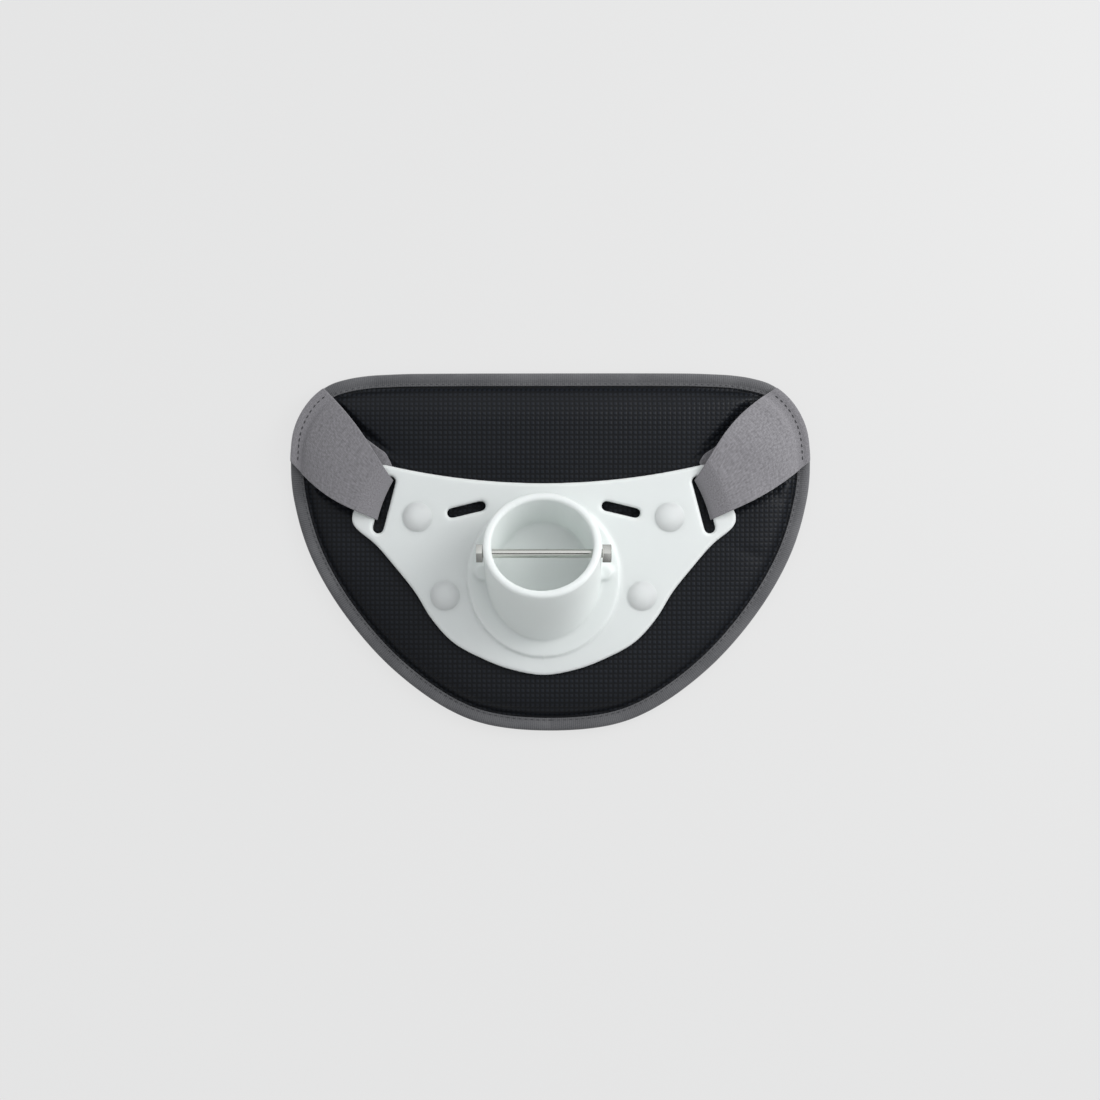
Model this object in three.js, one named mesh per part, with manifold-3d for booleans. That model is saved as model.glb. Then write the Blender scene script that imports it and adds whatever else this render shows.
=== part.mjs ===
// A fishing fighting belt: a bound pad, two sewn bands and a moulded plate with a rod-butt cup.
// X runs across the waist, Y up the body and Z away from the body. The pad's back is at Z = 0.
import * as THREE from 'three';
import { mergeVertices } from 'three/addons/utils/BufferGeometryUtils.js';
import Module from 'manifold-3d';

const wasm = await Module();
wasm.setup();

// Driving sizes in millimetres, and angles in degrees.
const clearance = 0.3;

const beltWidth = 285.2;
const beltHeight = 195.9;
const padThickness = 13;
const padEdgeThickness = 3.2;
const padShoulderWidth = 17;
const bindingTape = 1.2;
const bindingWidth = 7;

const plateWidth = 209;
const plateHeight = 114.7;
const plateThickness = 3.5;
const plateBow = 2.2;
const plateOffsetX = -3.2;
const plateOffsetY = -9.45;

const outerSlotLength = 32;
const outerSlotWidth = 5.9;
const outerSlotTilt = 14.6;
const outerSlotInset = 17.6;
const outerSlotDrop = 22.2;

const innerSlotLength = 21.5;
const innerSlotWidth = 5.2;
const innerSlotTilt = 13.5;
const innerSlotX = 42;
const innerSlotDrop = 24.8;

const cupBore = 54;
const cupFloorBore = 52;
const cupWall = 4.5;
const cupLength = 39.3;
const cupTilt = 27.5;
const cupFloorY = -13.8;
const cupFloorAbovePlate = 0.2;
const cupRimRound = 1.4;

const baseWidth = 82.6;
const baseLength = 86;
const baseRise = 1.8;
const lugLength = 9;
const lugReach = 7.2;
const lugRise = 2.6;
const lugY = -10.5;

const boltDiameter = 4.8;
const boltDepth = 11;
const boltHeadThickness = 3.3;
const hexAcrossFlats = 9.5;
const nutThickness = 4.8;
const nutChamfer = 0.7;

const rivetCapDiameter = 16;
const rivetCapEdge = 0.7;
const rivetCapHeight = 2.6;
const rivetShankDiameter = 5;
const rivetShankInPad = 6;

// How far a cut runs on past the face that it opens.
const cutBeyond = 1;

const strapThickness = 1.4;
const strapHem = 5;
const strapEndInset = 0.2;
const strapOuterTop = 90;
const strapOuterBottom = 49.5;
const strapSlotTop = 13.2;
const strapSlotBottom = -8.8;
const strapSlotSlack = 1.5;
const strapFlatReach = 17;

// The pad's right half outline, from the bottom up, in shares of half the belt's width and height.
const padOutline = [
  { across: 0, up: -1 },
  { across: 0.245, up: -0.965 },
  { across: 0.406, up: -0.87 },
  { across: 0.628, up: -0.625 },
  { across: 0.815, up: -0.3 },
  { across: 0.928, up: 0 },
  { across: 0.983, up: 0.27 },
  { across: 0.998, up: 0.46 },
  { across: 0.983, up: 0.693 },
  { across: 0.933, up: 0.831 },
  { across: 0.863, up: 0.925 },
  { across: 0.76, up: 0.975 },
  { across: 0.61, up: 0.995 },
  { across: 0.35, up: 1 },
  { across: 0, up: 1 },
];

// How the pad's face rises from the binding: shares of the shoulder's width and of the full rise.
const padShoulder = [
  { inward: 0, rise: 0 },
  { inward: 0.02, rise: 0.16 },
  { inward: 0.09, rise: 0.45 },
  { inward: 0.2, rise: 0.68 },
  { inward: 0.38, rise: 0.86 },
  { inward: 0.65, rise: 0.96 },
  { inward: 1, rise: 1 },
];

// The plate's right half outline in shares of half its width and height. A row with a handle is
// the end of a rounded stretch that bends towards that handle.
const plateCurve = [
  { across: 0.171, up: -0.948 },
  { across: 0.312, up: -0.852 },
  { across: 0.47, up: -0.695 },
  { across: 0.585, up: -0.468 },
  { across: 0.671, up: -0.215 },
  { across: 0.77, up: 0.011 },
  { across: 0.876, up: 0.233 },
  { across: 0.962, up: 0.36 },
];
const plateCorners = [
  { across: 0.989, up: 0.562, handleAcross: 1.023, handleUp: 0.451 },
  { across: 0.864, up: 0.962, handleAcross: 0.927, handleUp: 0.762 },
  { across: 0.819, up: 0.99, handleAcross: 0.848, handleUp: 1.012 },
  { across: 0, up: 0.817, handleAcross: 0.41, handleUp: 0.817 },
];

// The four rivets, in shares of half the plate's width and height.
const rivetPlaces = [
  { name: 'rivet_upper_left', across: -0.656, up: 0.498 },
  { name: 'rivet_upper_right', across: 0.656, up: 0.498 },
  { name: 'rivet_lower_left', across: -0.513, up: -0.248 },
  { name: 'rivet_lower_right', across: 0.513, up: -0.248 },
];

// A band's two layers along its run: where each row lies, and how far the lower and the upper
// layer have risen from the sewn end towards the plate.
const strapRun = [
  { share: 0.17, low: 0.06, high: 0.42 },
  { share: 0.26, low: 0.24, high: 0.72 },
  { share: 0.4, low: 0.5, high: 0.92 },
  { share: 0.56, low: 0.8, high: 1 },
];

// The bend through the slot: how far beyond the slot's wall, in shares of the band's thickness,
// and how far fallen, in shares of half the bend's height.
const strapBend = [
  { beyond: -2.6, fall: 0 },
  { beyond: -1, fall: 0.06 },
  { beyond: 0.1, fall: 0.18 },
  { beyond: 0.72, fall: 0.42 },
  { beyond: 1, fall: 0.75 },
];

// How the edges of each band bow: shares of its width, upper edge of each layer and lower edge.
// The back layer spreads most near the plate, which the skew says.
const backSkew = 3;
const strapBands = {
  left: { side: -1, topUpper: 0.02, backUpper: 0.24, lower: 0.13 },
  right: { side: 1, topUpper: 0.2, backUpper: 0.3, lower: 0.09 },
};

const edgeSteps = 72;
const strapSteps = 12;
const roundSteps = 40;
const capSteps = 18;
const boltSteps = 20;

// Levels and places worked out from the sizes.
const bindingHeight = padEdgeThickness + 2 * (bindingTape + clearance);
const plateMiddleBack = padThickness + clearance;
const cupAngle = THREE.MathUtils.degToRad(cupTilt);
const cupDirection = new THREE.Vector3(0, Math.sin(cupAngle), Math.cos(cupAngle));
const cupFloorZ = plateMiddleBack + plateThickness + cupFloorAbovePlate;
const cupFloor = new THREE.Vector3(0, cupFloorY, cupFloorZ);
const cupTurn = new THREE.Matrix4().makeRotationX(-cupAngle).setPosition(cupFloor);
const cupOuter = cupBore / 2 + cupWall;
const boltPlace = cupFloor.clone().addScaledVector(cupDirection, cupLength - boltDepth);

function plateFall(x) {
  const share = (x - plateOffsetX) / (plateWidth / 2);
  return plateBow * share * share;
}

function plateBack(x) {
  return plateMiddleBack - plateFall(x);
}

function plateTip() {
  return plateOffsetY + plateHeight / 2;
}

// Solids

function solidOf(geometry) {
  const bare = geometry.clone();
  bare.deleteAttribute('normal');
  bare.deleteAttribute('uv');
  const merged = mergeVertices(bare, 1e-4);
  return new wasm.Manifold(new wasm.Mesh({
    numProp: 3,
    vertProperties: merged.attributes.position.array,
    triVerts: Uint32Array.from(merged.index.array),
  }));
}

function geometryOf(solid) {
  const mesh = solid.getMesh();
  const geometry = new THREE.BufferGeometry();
  geometry.setAttribute('position', new THREE.BufferAttribute(mesh.vertProperties, 3));
  geometry.setIndex(new THREE.BufferAttribute(mesh.triVerts, 1));
  geometry.computeVertexNormals();
  return geometry;
}

function placed(geometry, matrix) {
  return solidOf(geometry.clone().applyMatrix4(matrix));
}

function meshFrom(points, faces) {
  const geometry = new THREE.BufferGeometry();
  const flat = points.flatMap((point) => [point.x, point.y, point.z]);
  geometry.setAttribute('position', new THREE.Float32BufferAttribute(flat, 3));
  geometry.setIndex(faces);
  geometry.computeVertexNormals();
  return geometry;
}

// The quads between neighbouring sections, each section a closed loop of points.
function sectionFaces(sectionCount, loopLength, closed) {
  const faces = [];
  const spans = closed ? sectionCount : sectionCount - 1;
  for (let i = 0; i < spans; i += 1) {
    const here = i * loopLength;
    const next = ((i + 1) % sectionCount) * loopLength;
    for (let j = 0; j < loopLength; j += 1) {
      const k = (j + 1) % loopLength;
      faces.push(here + j, here + k, next + k, here + j, next + k, next + j);
    }
  }
  return faces;
}

// A solid through a row of sections. The second half of each section runs back beside the first,
// so its end faces are filled like a ladder between the two.
function sweptSolid(sections) {
  const loopLength = sections[0].length;
  const faces = sectionFaces(sections.length, loopLength, false);
  const last = (sections.length - 1) * loopLength;
  for (let j = 0; j < loopLength / 2 - 1; j += 1) {
    const [a, b, c, d] = [j, j + 1, loopLength - 2 - j, loopLength - 1 - j];
    faces.push(a, c, b, a, d, c);
    faces.push(last + a, last + b, last + c, last + a, last + c, last + d);
  }
  return meshFrom(sections.flat(), faces);
}

// A solid of rings stacked upwards, its first and last rings filled round a middle point.
function ringSolid(rings, bottomMiddle, topMiddle) {
  const loopLength = rings[0].length;
  const points = [...rings.flat(), bottomMiddle, topMiddle];
  const faces = sectionFaces(rings.length, loopLength, false);
  const last = (rings.length - 1) * loopLength;
  const bottom = rings.length * loopLength;
  for (let j = 0; j < loopLength; j += 1) {
    const k = (j + 1) % loopLength;
    faces.push(bottom, k, j, bottom + 1, last + j, last + k);
  }
  return meshFrom(points, faces);
}

function prism(outline, bottom, top) {
  const shape = new THREE.Shape(outline);
  const geometry = new THREE.ExtrudeGeometry(shape, { depth: top - bottom, bevelEnabled: false });
  return geometry.translate(0, 0, bottom);
}

// The belt's outline

const outlineCurve = new THREE.CatmullRomCurve3(
  [
    ...padOutline.map((row) => [row.across, row.up]),
    ...padOutline.slice(1, -1).reverse().map((row) => [-row.across, row.up]),
  ].map(([across, up]) => new THREE.Vector3((across * beltWidth) / 2, (up * beltHeight) / 2, 0)),
  true,
  'centripetal',
);
outlineCurve.arcLengthDivisions = 1200;

function outlineFrame(share) {
  const point = outlineCurve.getPointAt(share);
  const along = outlineCurve.getTangentAt(share);
  return { point, outward: new THREE.Vector3(along.y, -along.x, 0) };
}

const edgeFrames = Array.from({ length: edgeSteps }, (_, i) => outlineFrame(i / edgeSteps));

function insetPoint(frame, inset, height) {
  const point = frame.point.clone().addScaledVector(frame.outward, -inset);
  point.z = typeof height === 'function' ? height(point.x) : height;
  return point;
}

function insetRing(inset, height) {
  return edgeFrames.map((frame) => insetPoint(frame, inset, height));
}

// The share of the outline's length at which its right side reaches a height.
function outlineShareAt(height) {
  let low = 0;
  let high = 0.5;
  for (let i = 0; i < 40; i += 1) {
    const middle = (low + high) / 2;
    if (outlineCurve.getPointAt(middle).y < height) {
      low = middle;
    } else {
      high = middle;
    }
  }
  return low;
}

// Pad and binding

function padTop(x) {
  return plateBack(x) - clearance;
}

function padGeometry(channels) {
  const innerEdge = bindingWidth + clearance;
  const outerEdge = bindingTape + clearance;
  const edgeTop = outerEdge + padEdgeThickness;
  const rings = [
    insetRing(innerEdge, 0),
    insetRing(innerEdge, outerEdge),
    insetRing(outerEdge, outerEdge),
    insetRing(outerEdge, edgeTop),
  ];
  padShoulder.forEach((row) => {
    const inset = innerEdge + row.inward * padShoulderWidth;
    rings.push(insetRing(inset, (x) => THREE.MathUtils.lerp(edgeTop, padTop(x), row.rise)));
  });
  const shoulderRing = rings[rings.length - 1];
  for (const share of [0.84, 0.67, 0.5, 0.33, 0.16]) {
    rings.push(shoulderRing.map((point) => {
      const x = point.x * share;
      return new THREE.Vector3(x, point.y * share, padTop(x));
    }));
  }
  const blank = ringSolid(rings, new THREE.Vector3(0, 0, 0), new THREE.Vector3(0, 0, padTop(0)));
  const cuts = [...channels, ...rivetPlaces.map((place) => rivetHole(place))];
  return geometryOf(cuts.reduce((pad, cut) => pad.subtract(cut), solidOf(blank)));
}

function bindingGeometry() {
  const round = bindingTape * 0.35;
  const section = [
    [bindingWidth, 0],
    [bindingWidth, bindingTape],
    [bindingTape, bindingTape],
    [bindingTape, bindingHeight - bindingTape],
    [bindingWidth, bindingHeight - bindingTape],
    [bindingWidth, bindingHeight],
    [bindingTape, bindingHeight],
    [round, bindingHeight - round],
    [0, bindingHeight - bindingTape],
    [0, bindingTape],
    [round, round],
    [bindingTape, 0],
  ];
  const loops = edgeFrames.map((frame) => section.map(([inset, z]) => insetPoint(frame, inset, z)));
  return meshFrom(loops.flat(), sectionFaces(loops.length, section.length, true));
}

// Plate and cup

function slotOutline(length, width) {
  const reach = (length - width) / 2;
  const shape = new THREE.Shape();
  shape.absarc(reach, 0, width / 2, -Math.PI / 2, Math.PI / 2, false);
  shape.absarc(-reach, 0, width / 2, Math.PI / 2, (3 * Math.PI) / 2, false);
  return shape.getPoints(8);
}

// A slot's own frame: its long axis turned from X by the angle, in degrees.
function slotMatrix(x, y, angle) {
  const turn = new THREE.Matrix4().makeRotationZ(THREE.MathUtils.degToRad(angle));
  return turn.setPosition(x, y, 0);
}

function outerSlotMatrix(side) {
  const x = plateOffsetX + side * (plateWidth / 2 - outerSlotInset);
  return slotMatrix(x, plateTip() - outerSlotDrop, 90 + side * outerSlotTilt);
}

function innerSlotMatrix(side) {
  const x = plateOffsetX + side * innerSlotX;
  return slotMatrix(x, plateTip() - innerSlotDrop, -side * innerSlotTilt);
}

function plateOutline() {
  const at = (across, up) => [
    (across * plateWidth) / 2,
    plateOffsetY + (up * plateHeight) / 2,
  ];
  const lowerRows = [
    ...plateCurve.map((row) => [-row.across, row.up]).reverse(),
    [0, -1],
    ...plateCurve.map((row) => [row.across, row.up]),
  ];
  const lower = new THREE.SplineCurve(lowerRows.map((row) => new THREE.Vector2(...at(...row))));
  const corners = new THREE.Path();
  const last = plateCurve[plateCurve.length - 1];
  corners.moveTo(...at(last.across, last.up));
  plateCorners.forEach((row) => {
    corners.quadraticCurveTo(...at(row.handleAcross, row.handleUp), ...at(row.across, row.up));
  });
  const right = corners.getPoints(6).slice(1);
  const left = right.slice(0, -1).reverse().map((point) => new THREE.Vector2(-point.x, point.y));
  const outline = [...lower.getPoints(6 * (lowerRows.length - 1)), ...right, ...left];
  return outline.map((point) => new THREE.Vector2(point.x + plateOffsetX, point.y));
}

// The bowed sheet that the plate's outline is cut from.
function bowedSheet() {
  const steps = 24;
  const sheetMargin = 1.1;
  const sections = [1, -1].map((side) => {
    const y = plateOffsetY + (side * plateHeight * sheetMargin) / 2;
    const back = [];
    const front = [];
    for (let i = 0; i <= steps; i += 1) {
      const x = plateOffsetX + plateWidth * (i / steps - 0.5) * sheetMargin;
      back.push(new THREE.Vector3(x, y, plateBack(x)));
      front.unshift(new THREE.Vector3(x, y, plateBack(x) + plateThickness));
    }
    return [...back, ...front];
  });
  return sweptSolid(sections);
}

// A turned profile on the cup's axis, with the floor's middle as its origin.
function onCupAxis(profile) {
  const points = profile.map(([radius, height]) => new THREE.Vector2(radius, height));
  const turned = new THREE.LatheGeometry(points, roundSteps);
  turned.rotateX(Math.PI / 2);
  return placed(turned, new THREE.Matrix4().makeTranslation(plateOffsetX, 0, 0).multiply(cupTurn));
}

function boxBelow(level) {
  const size = plateWidth;
  const box = new THREE.BoxGeometry(size, size, size);
  return solidOf(box.translate(plateOffsetX, 0, level - size / 2));
}

function cupTube() {
  const below = -cupBore / 2;
  const tube = onCupAxis([
    [0, below],
    [cupOuter - 0.5, below],
    [cupOuter - 0.5, 0],
    [cupOuter, cupLength - cupRimRound],
    [cupOuter - cupRimRound * 0.35, cupLength - cupRimRound * 0.35],
    [cupOuter - cupRimRound, cupLength],
    [0, cupLength],
  ]);
  return tube.subtract(boxBelow(plateMiddleBack + plateThickness / 2));
}

function cupHollow() {
  const above = cupLength + cupRimRound;
  const bore = onCupAxis([
    [0, -cupBore / 2],
    [cupFloorBore / 2, -cupBore / 2],
    [cupFloorBore / 2, 0],
    [cupBore / 2, cupLength - cupRimRound],
    [cupBore / 2 + cupRimRound * 0.35, cupLength - cupRimRound * 0.35],
    [cupBore / 2 + cupRimRound, cupLength],
    [cupBore / 2 + cupRimRound, above],
    [0, above],
  ]);
  return bore.subtract(boxBelow(cupFloorZ));
}

function ovalBase() {
  const oval = new THREE.EllipseCurve(
    plateOffsetX, cupFloorY, baseWidth / 2, baseLength / 2, 0, Math.PI * 2,
  );
  const outline = oval.getPoints(roundSteps).slice(0, -1);
  const bottom = plateMiddleBack + plateThickness / 2;
  return solidOf(prism(outline, bottom, plateMiddleBack + plateThickness + baseRise));
}

function lug(side) {
  const bottom = plateMiddleBack + plateThickness / 2;
  const top = plateMiddleBack + plateThickness + baseRise + lugRise;
  const outline = slotOutline(2 * (lugReach + cupWall), lugLength);
  const x = plateOffsetX + side * (cupOuter - cupWall);
  return solidOf(prism(outline, bottom, top).translate(x, lugY, 0));
}

// A cylinder along X through the cup, from one distance to another off its middle line.
function crossCylinder(diameter, from, to, sides) {
  const bar = new THREE.CylinderGeometry(diameter / 2, diameter / 2, to - from, sides);
  bar.rotateZ(Math.PI / 2);
  return bar.translate(plateOffsetX + (from + to) / 2, boltPlace.y, boltPlace.z);
}

function plateGeometry() {
  const sheet = solidOf(bowedSheet());
  const outline = prism(plateOutline(), 0, plateMiddleBack + 2 * plateThickness);
  let plate = sheet.intersect(solidOf(outline));
  plate = plate.add(ovalBase()).add(lug(-1)).add(lug(1)).add(cupTube());
  plate = plate.subtract(cupHollow());
  const depth = plateMiddleBack + 2 * plateThickness;
  for (const side of [-1, 1]) {
    const outer = prism(slotOutline(outerSlotLength, outerSlotWidth), 0, depth);
    const inner = prism(slotOutline(innerSlotLength, innerSlotWidth), 0, depth);
    plate = plate.subtract(placed(outer, outerSlotMatrix(side)));
    plate = plate.subtract(placed(inner, innerSlotMatrix(side)));
  }
  rivetPlaces.forEach((place) => {
    plate = plate.subtract(rivetHole(place));
  });
  const reach = cupOuter * 1.2;
  const hole = crossCylinder(boltDiameter + 2 * clearance, -reach, reach, boltSteps);
  return geometryOf(plate.subtract(solidOf(hole)));
}

// Rivets

function rivetMatrix(place) {
  const across = (place.across * plateWidth) / 2;
  const slope = (2 * plateBow * across) / (plateWidth / 2) ** 2;
  const x = plateOffsetX + across;
  const y = plateOffsetY + (place.up * plateHeight) / 2;
  const turn = new THREE.Matrix4().makeRotationY(Math.atan(slope));
  return turn.setPosition(x, y, plateBack(x) + plateThickness);
}

function rivetHole(place) {
  const radius = rivetShankDiameter / 2 + clearance;
  const depth = plateThickness + clearance + rivetShankInPad + clearance;
  const hole = new THREE.CylinderGeometry(radius, radius, depth + cutBeyond, boltSteps);
  hole.rotateX(Math.PI / 2).translate(0, 0, (cutBeyond - depth) / 2);
  return placed(hole, rivetMatrix(place));
}

function rivetGeometry() {
  const shank = rivetShankDiameter / 2;
  const cap = rivetCapDiameter / 2;
  const bottom = -plateThickness - clearance - rivetShankInPad;
  const profile = [[0, bottom], [shank, bottom], [shank, clearance], [cap, clearance]];
  const domeSteps = 5;
  for (let i = 0; i <= domeSteps; i += 1) {
    const angle = (i / domeSteps) * (Math.PI / 2);
    const rise = (rivetCapHeight - rivetCapEdge) * Math.sin(angle);
    profile.push([cap * Math.cos(angle), clearance + rivetCapEdge + rise]);
  }
  profile[profile.length - 1][0] = 0;
  const points = profile.map(([radius, height]) => new THREE.Vector2(radius, height));
  return geometryOf(solidOf(new THREE.LatheGeometry(points, capSteps).rotateX(Math.PI / 2)));
}

// Bolt and nut

function hexPrism(from, to, chamfer) {
  const hexRadius = hexAcrossFlats / 2 / Math.cos(Math.PI / 6);
  const blank = crossCylinder(2 * hexRadius, from, to, 6);
  if (!chamfer) {
    return solidOf(blank);
  }
  const round = new THREE.LatheGeometry([
    new THREE.Vector2(0, from - cutBeyond),
    new THREE.Vector2(hexRadius + cutBeyond, from - cutBeyond),
    new THREE.Vector2(hexRadius + cutBeyond, to - chamfer - cutBeyond),
    new THREE.Vector2(hexRadius - chamfer, to),
    new THREE.Vector2(0, to),
  ], roundSteps).rotateZ(-Math.PI / 2).translate(plateOffsetX, boltPlace.y, boltPlace.z);
  return solidOf(blank).intersect(solidOf(round));
}

function boltGeometry() {
  const face = cupOuter + clearance;
  const head = hexPrism(-face - boltHeadThickness, -face, 0);
  const end = face + nutThickness - clearance;
  const shank = solidOf(crossCylinder(boltDiameter, -face - boltHeadThickness / 2, end, boltSteps));
  return geometryOf(head.add(shank));
}

function nutGeometry() {
  const face = cupOuter + clearance;
  const nut = hexPrism(face, face + nutThickness, nutChamfer);
  const reach = face + 2 * nutThickness;
  const hole = solidOf(crossCylinder(boltDiameter + 2 * clearance, 0, reach, boltSteps));
  return geometryOf(nut.subtract(hole));
}

// Bands

const sewnLevel = bindingHeight + clearance;

// The two ends of a line along the band: on the outline, and on the outer wall of the slot.
function strapEnds(side, across) {
  const topShare = outlineShareAt(strapOuterTop);
  const bottomShare = outlineShareAt(strapOuterBottom);
  const frame = outlineFrame(THREE.MathUtils.lerp(topShare, bottomShare, across));
  const outer = insetPoint(frame, strapEndInset, 0);
  outer.x *= side;
  const slack = strapSlotSlack * (1 - across) ** 2;
  const wall = -side * (outerSlotWidth / 2 - clearance - slack);
  const along = THREE.MathUtils.lerp(strapSlotTop, strapSlotBottom, across);
  const inner = new THREE.Vector3(along, wall, 0).applyMatrix4(outerSlotMatrix(side));
  return { outer, inner, length: outer.distanceTo(inner) };
}

function strapPoint(band, row, across, layer) {
  const plain = strapEnds(band.side, across);
  let share = row.share;
  if (row.fromEnd !== undefined) {
    share = row.fromEnd / plain.length;
  } else if (row.fromSlot !== undefined) {
    share = 1 - row.fromSlot / plain.length;
  }
  const within = THREE.MathUtils.clamp(share, 0, 1);
  const lowerBow = band.lower * Math.sin(Math.PI * within);
  const topBow = band.topUpper * Math.sin(Math.PI * within);
  const backBow = band.backUpper * Math.sin(Math.PI * within ** backSkew);
  const upperBows = { top: topBow, back: backBow, widest: Math.max(topBow, backBow) };
  const upperBow = upperBows[layer];
  const ends = strapEnds(band.side, across + lowerBow * across - upperBow * (1 - across));
  return ends.outer.lerp(ends.inner, share);
}

// A point of a band: a row of its run, how far across it, its layer and how far off its underside.
// The layers are top, back and, for the space below the band, the widest of both.
function strapVertex(band, row, across, layer, lift) {
  const point = strapPoint(band, row, across, layer);
  const reach = THREE.MathUtils.clamp(point.x - plateOffsetX, -plateWidth / 2, plateWidth / 2);
  const back = plateBack(plateOffsetX + reach);
  if (layer === 'top') {
    const front = back + plateThickness + clearance;
    point.z = THREE.MathUtils.lerp(sewnLevel + strapThickness, front, row.high);
  } else {
    point.z = THREE.MathUtils.lerp(sewnLevel, back - clearance - strapThickness, row.low);
  }
  point.z += lift;
  return point;
}

const strapStart = { fromEnd: 0, low: 0, high: 0 };
const strapHemRow = { fromEnd: strapHem, low: 0, high: 0 };
const strapFlatRow = { fromSlot: strapFlatReach, low: 1, high: 1 };
const strapWallRow = { fromSlot: 0, low: 1, high: 1 };
const strapMiddleRows = [...strapRun, strapFlatRow];
const bendHeight = plateThickness / 2 + clearance + strapThickness;
const bendRows = strapBend.map((row) => ({
  fromSlot: -row.beyond * strapThickness,
  low: 1,
  high: 1,
  fall: row.fall * bendHeight,
}));

function strapOutside(band, across) {
  const flat = [strapStart, strapHemRow, ...strapMiddleRows];
  const top = flat.map((row) => strapVertex(band, row, across, 'top', strapThickness));
  const topBend = bendRows.map((row) => (
    strapVertex(band, row, across, 'top', strapThickness - row.fall)
  ));
  const backBend = bendRows.map((row) => strapVertex(band, row, across, 'back', row.fall));
  const back = flat.map((row) => strapVertex(band, row, across, 'back', 0));
  return [...top, ...topBend, ...backBend.reverse(), ...back.reverse()];
}

function strapInside(band, across) {
  const rows = [strapHemRow, ...strapMiddleRows, strapWallRow];
  const top = rows.map((row) => strapVertex(band, row, across, 'top', 0));
  const back = rows.map((row) => strapVertex(band, row, across, 'back', strapThickness));
  back[0] = top[0].clone();
  return [...top, ...back.reverse()];
}

// The space that a band presses into the pad below it.
function strapChannelSection(band, across) {
  const before = { fromEnd: -strapHem, low: 0, high: 0 };
  const after = { fromSlot: -strapThickness - clearance, low: 1, high: 1 };
  const rows = [before, strapHemRow, ...strapMiddleRows, ...bendRows, after];
  const floor = rows.map((row) => strapVertex(band, row, across, 'widest', -clearance));
  const roof = floor.map((point) => point.clone().setZ(plateMiddleBack + plateThickness));
  return [...roof, ...floor.reverse()];
}

// A solid swept across a band, beyond its edges by a margin given as a share of its width.
function acrossStrap(band, section, margin) {
  const sections = [];
  for (let i = 0; i <= strapSteps; i += 1) {
    sections.push(section(band, -margin + (i / strapSteps) * (1 + 2 * margin)));
  }
  return solidOf(sweptSolid(band.side < 0 ? sections.reverse() : sections));
}

function strapGeometry(band) {
  const outside = acrossStrap(band, strapOutside, 0);
  return geometryOf(outside.subtract(acrossStrap(band, strapInside, 0.3)));
}

function strapChannel(band) {
  const width = strapSlotTop - strapSlotBottom;
  return acrossStrap(band, strapChannelSection, clearance / width);
}

// The pieces

function finish(colour, roughness, metalness) {
  return new THREE.MeshStandardMaterial({ color: colour, roughness, metalness });
}

function piece(name, geometry, material) {
  const mesh = new THREE.Mesh(geometry, material);
  mesh.name = name;
  return mesh;
}

const belt = new THREE.Group();
const channels = Object.values(strapBands).map((band) => strapChannel(band));
belt.add(piece('pad', padGeometry(channels), finish('#2b2e33', 0.7, 0)));
belt.add(piece('edge_binding', bindingGeometry(), finish('#737375', 0.9, 0)));
belt.add(piece('strap_left', strapGeometry(strapBands.left), finish('#8a888b', 0.9, 0)));
belt.add(piece('strap_right', strapGeometry(strapBands.right), finish('#8a888b', 0.9, 0)));
belt.add(piece('gimbal_plate', plateGeometry(), finish('#e4e6e5', 0.35, 0)));
rivetPlaces.forEach((place) => {
  const rivet = piece(place.name, rivetGeometry(), finish('#e4e6e5', 0.35, 0));
  rivet.applyMatrix4(rivetMatrix(place));
  belt.add(rivet);
});
belt.add(piece('cross_bolt', boltGeometry(), finish('#a8aaa6', 0.25, 1)));
belt.add(piece('lock_nut', nutGeometry(), finish('#a8aaa6', 0.3, 1)));

export default belt;
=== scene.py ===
# Fishing fighting belt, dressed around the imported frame.
# The dictionaries give lengths in millimetres and angles in degrees. Meshes are in metres.
import math

import bpy
from mathutils import Matrix, Vector, geometry
from mathutils.bvhtree import BVHTree


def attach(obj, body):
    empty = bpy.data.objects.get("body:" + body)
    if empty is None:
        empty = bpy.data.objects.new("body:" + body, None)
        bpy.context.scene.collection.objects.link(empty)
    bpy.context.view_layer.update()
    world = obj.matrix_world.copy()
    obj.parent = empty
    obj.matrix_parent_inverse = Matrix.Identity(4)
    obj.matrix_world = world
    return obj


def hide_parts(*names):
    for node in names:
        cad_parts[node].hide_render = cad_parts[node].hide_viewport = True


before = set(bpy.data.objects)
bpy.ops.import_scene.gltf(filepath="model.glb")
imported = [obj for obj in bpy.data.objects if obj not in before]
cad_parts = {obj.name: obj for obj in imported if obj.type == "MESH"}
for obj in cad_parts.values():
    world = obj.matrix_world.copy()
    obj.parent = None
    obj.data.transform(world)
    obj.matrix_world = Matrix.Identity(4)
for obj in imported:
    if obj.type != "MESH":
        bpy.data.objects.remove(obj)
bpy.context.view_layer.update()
mm = 0.001
tau = 2 * math.pi
print("frame loaded:", len(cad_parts), "nodes")


# Small tools

def pick(obj):  # leaves one object selected and active
    bpy.ops.object.select_all(action="DESELECT")
    obj.select_set(True)
    bpy.context.view_layer.objects.active = obj


def added(name):  # names what an operator has just added
    obj = bpy.context.object
    obj.name = obj.data.name = name
    return obj


def applyAll(obj):
    pick(obj)
    bpy.ops.object.transform_apply(location=True, rotation=True, scale=True)
    for modifier in list(obj.modifiers):
        bpy.ops.object.modifier_apply(modifier=modifier.name)


def closeUp(obj):  # merges seams and poles, then points the faces outwards
    pick(obj)
    bpy.ops.object.mode_set(mode="EDIT")
    bpy.ops.mesh.select_all(action="SELECT")
    bpy.ops.mesh.remove_doubles(threshold=0.001 * mm)
    bpy.ops.mesh.normals_make_consistent(inside=False)
    bpy.ops.object.mode_set(mode="OBJECT")


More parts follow.
